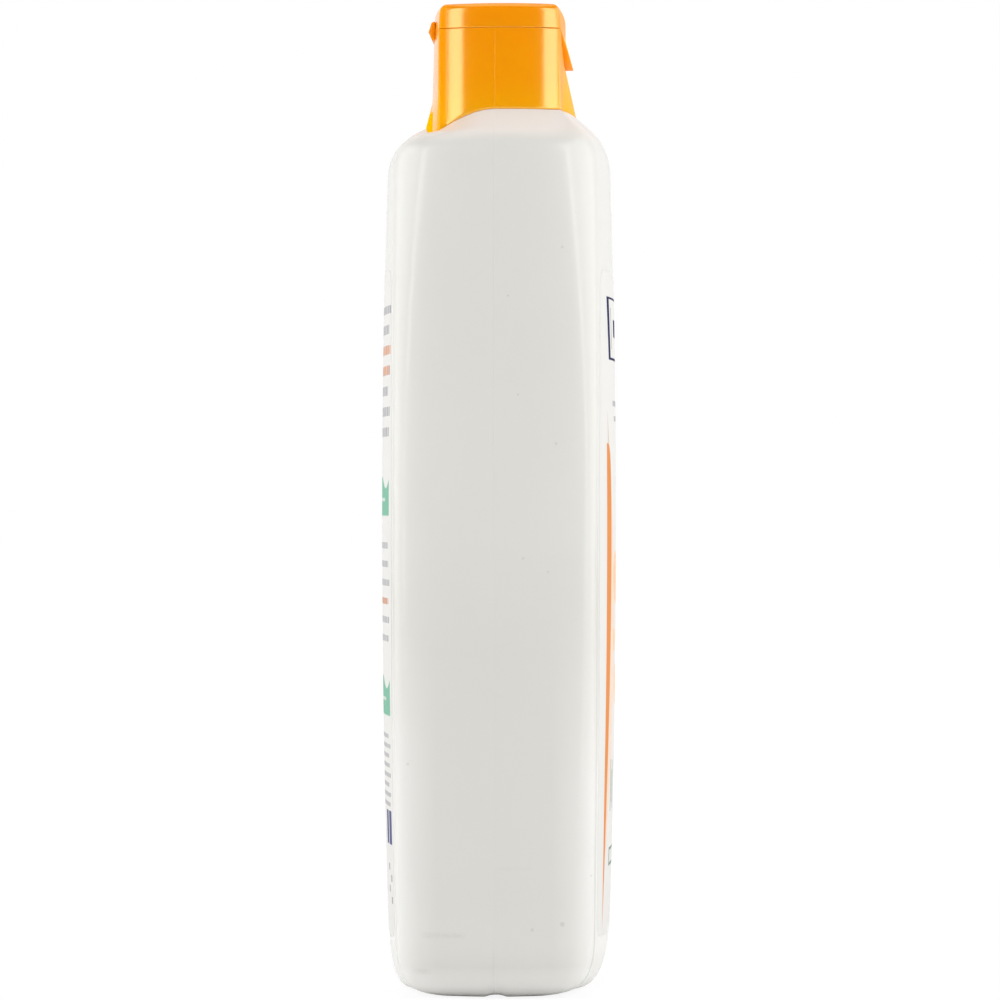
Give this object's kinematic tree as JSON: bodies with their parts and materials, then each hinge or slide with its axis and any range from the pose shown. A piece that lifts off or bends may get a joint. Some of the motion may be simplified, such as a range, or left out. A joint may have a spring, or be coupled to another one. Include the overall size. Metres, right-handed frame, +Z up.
{
  "type": "shower gel bottle",
  "caption": "Tall flattened bottle, barrel-shaped in side view, with a press-on flip-top cap, hinged lid with thumb tab, label films and a gel fill.",
  "frame": {"origin": "centre of the foot, on the surface that the bottle stands on", "axes": "+Z up through the neck, +X along the width, -Y out of the front face with the thumb tab, +Y out of the back face with the hinge"},
  "size_m": [0.075, 0.0565, 0.235],
  "materials": {
    "bottle": "blow-moulded white polyethylene, satin",
    "gel": "clear orange gel",
    "front_label": "satin printed film",
    "back_label": "satin printed film",
    "cap": "translucent glossy polypropylene"
  },
  "bodies": {
    "bottle_and_cap": {"bottle": "bottle", "gel": "gel", "front_label": "front_label", "back_label": "back_label", "cap_base": "cap"},
    "lid": {"flip_lid": "cap"}
  },
  "joints": [
    {"name": "lid_hinge", "type": "hinge", "parent": "bottle_and_cap", "child": "lid", "pos_m": [0, 0.0167, 0.2294], "axis": [-1, 0, 0], "range_deg": [0, 130]}
  ]
}
